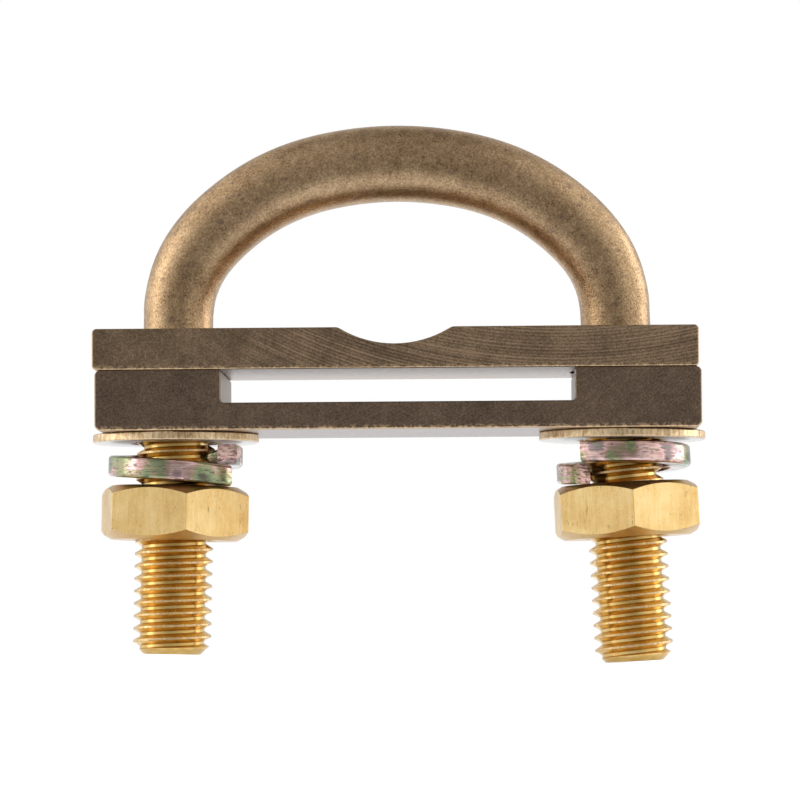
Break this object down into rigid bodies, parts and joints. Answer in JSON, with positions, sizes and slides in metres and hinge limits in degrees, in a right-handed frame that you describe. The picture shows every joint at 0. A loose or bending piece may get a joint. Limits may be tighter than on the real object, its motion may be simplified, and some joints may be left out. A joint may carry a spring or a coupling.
{
  "type": "ground rod clamp",
  "caption": "U-bolt clamp that joins a round ground rod to flat earthing tape: grooved saddle plate over a slotted plate, drawn up by nuts on washers.",
  "frame": {"origin": "deepest line of the saddle plate's rod groove, at the middle of the plate's depth", "axes": "+X along the plates, +Y along the ground rod and the tape, +Z from the plates up into the arch"},
  "size_m": [0.0617, 0.017, 0.0543],
  "materials": {
    "u_bolt_brass": "aged brass with brown patina, satin",
    "plate_bronze": "saw-cut brown bronze, matt",
    "washer_brass": "stamped brass, dull golden rim",
    "spring_washer_steel": "zinc plated with a yellow and green rainbow tint",
    "nut_brass": "bright drawn yellow brass"
  },
  "bodies": {
    "u_bolt": {"u_bolt": "u_bolt_brass"},
    "tape_plate": {"tape_plate": "plate_bronze"},
    "saddle_plate": {"saddle_plate": "plate_bronze"},
    "left_spring_washer": {"left_spring_washer": "spring_washer_steel"},
    "left_flat_washer": {"left_flat_washer": "washer_brass"},
    "left_nut": {"left_nut": "nut_brass"},
    "right_spring_washer": {"right_spring_washer": "spring_washer_steel"},
    "right_flat_washer": {"right_flat_washer": "washer_brass"},
    "right_nut": {"right_nut": "nut_brass"}
  },
  "joints": [
    {"name": "tape_plate_lift", "type": "slide", "parent": "u_bolt", "child": "tape_plate", "axis": [0, 0, 1], "range_m": [0, 0.0024]},
    {"name": "saddle_plate_lift", "type": "slide", "parent": "tape_plate", "child": "saddle_plate", "axis": [0, 0, 1], "range_m": [0, 0.0026]},
    {"name": "left_nut_travel", "type": "slide", "parent": "u_bolt", "child": "left_spring_washer", "axis": [0.0227, 0, 0.9997], "range_m": [-0.01125, 0]},
    {"name": "left_nut_spin", "type": "hinge", "parent": "left_spring_washer", "child": "left_nut", "pos_m": [-0.02247, 0, -0.01641], "axis": [0.0227, 0, 0.9997], "range_deg": [-3240.01, 0]},
    {"name": "left_flat_washer_spin", "type": "hinge", "parent": "left_spring_washer", "child": "left_flat_washer", "pos_m": [-0.02231, 0, -0.0089], "axis": [0, 0, 1], "continuous": true},
    {"name": "right_nut_travel", "type": "slide", "parent": "u_bolt", "child": "right_spring_washer", "axis": [-0.0471, 0, 0.9989], "range_m": [-0.01125, 0]},
    {"name": "right_nut_spin", "type": "hinge", "parent": "right_spring_washer", "child": "right_nut", "pos_m": [0.02297, 0, -0.0164], "axis": [-0.0471, 0, 0.9989], "range_deg": [-3240.01, 0]},
    {"name": "right_flat_washer_spin", "type": "hinge", "parent": "right_spring_washer", "child": "right_flat_washer", "pos_m": [0.02263, 0, -0.0089], "axis": [0, 0, 1], "continuous": true}
  ],
  "couplings": [
    {"joint": "left_nut_spin", "follows": "left_nut_travel", "rad_per_m": 5026.5},
    {"joint": "right_nut_spin", "follows": "right_nut_travel", "rad_per_m": 5026.5}
  ]
}
